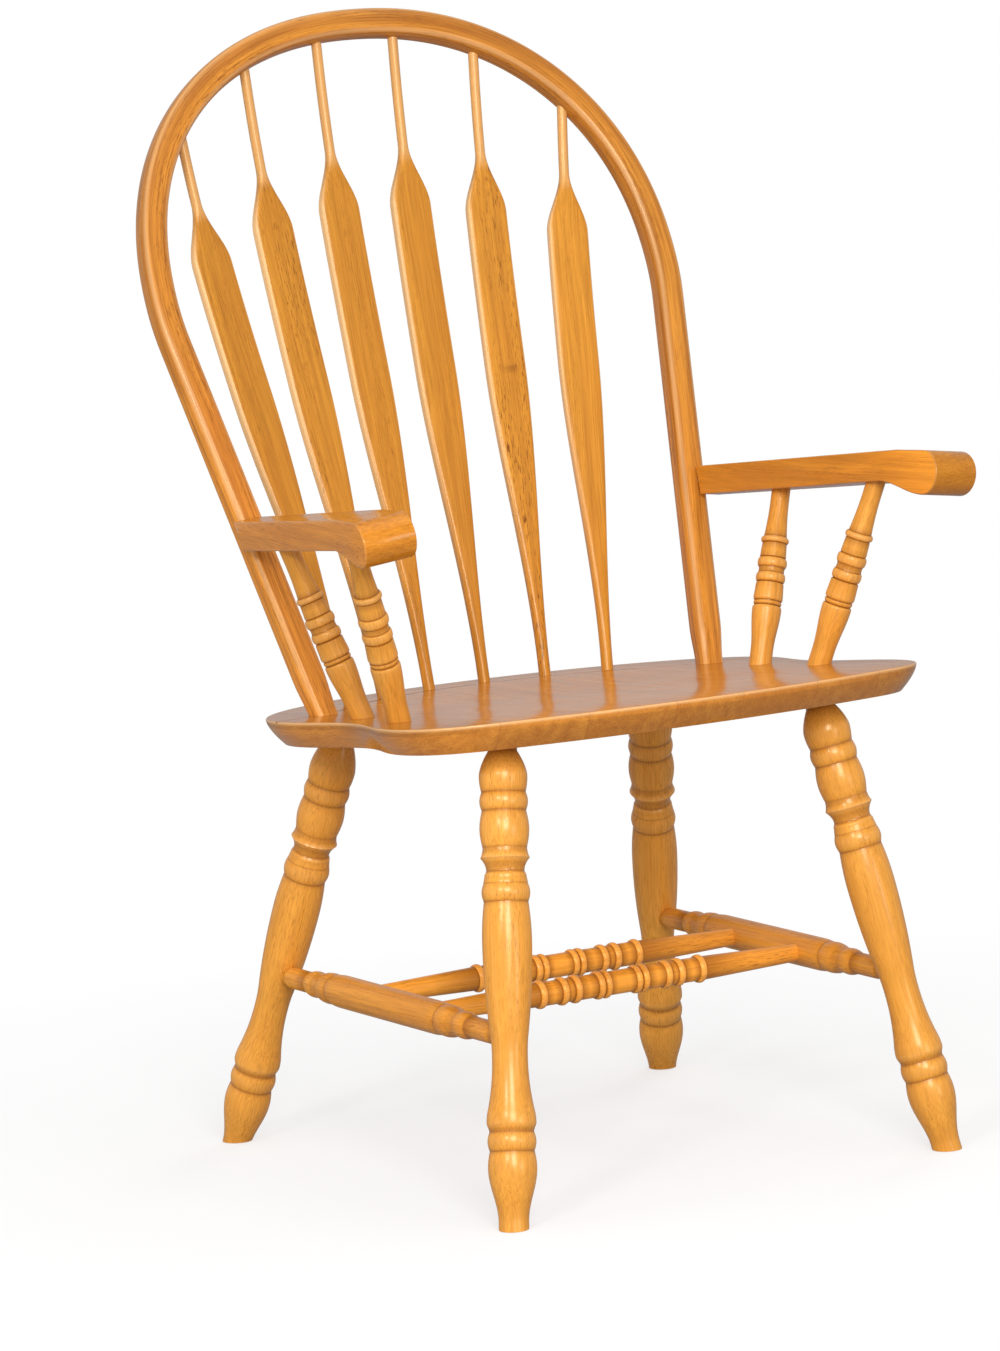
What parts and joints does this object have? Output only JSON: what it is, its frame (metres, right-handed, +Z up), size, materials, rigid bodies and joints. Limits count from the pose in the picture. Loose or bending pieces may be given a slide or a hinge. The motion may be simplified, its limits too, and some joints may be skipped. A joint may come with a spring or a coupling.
{
  "type": "dining armchair",
  "caption": "Wooden bow-back dining armchair with arrow spindles, turned splayed legs and stretchers, a shaped plank seat and sloping arms on turned posts.",
  "frame": {"origin": "on the floor, at the bottom centre of the chair's box", "axes": "+Z up, +Y towards the back of the chair, +X towards the sitter's left"},
  "size_m": [0.6198, 0.6034, 1.0379],
  "materials": {
    "seat_wood": "clear lacquer, satin to gloss",
    "leg_wood": "clear lacquer, satin",
    "stretcher_wood": "clear lacquer, satin",
    "bow_wood": "clear lacquer, satin",
    "spindle_wood": "clear lacquer, satin",
    "arm_wood": "clear lacquer, satin",
    "post_wood": "clear lacquer, satin",
    "plug_wood": "clear lacquer, satin",
    "screw_steel": "zinc plated"
  },
  "bodies": {
    "root": {"seat": "seat_wood", "bow": "bow_wood", "spindle_1": "spindle_wood", "spindle_2": "spindle_wood", "spindle_3": "spindle_wood", "spindle_4": "spindle_wood", "spindle_5": "spindle_wood", "spindle_6": "spindle_wood", "leg_front_left": "leg_wood", "leg_rear_left": "leg_wood", "side_stretcher_left": "stretcher_wood", "arm_left": "arm_wood", "arm_post_front_left": "post_wood", "arm_post_rear_left": "post_wood", "arm_screw_left": "screw_steel", "screw_plug_left": "plug_wood", "leg_front_right": "leg_wood", "leg_rear_right": "leg_wood", "side_stretcher_right": "stretcher_wood", "arm_right": "arm_wood", "arm_post_front_right": "post_wood", "arm_post_rear_right": "post_wood", "arm_screw_right": "screw_steel", "screw_plug_right": "plug_wood", "cross_stretcher_front": "stretcher_wood", "cross_stretcher_rear": "stretcher_wood"}
  },
  "joints": []
}
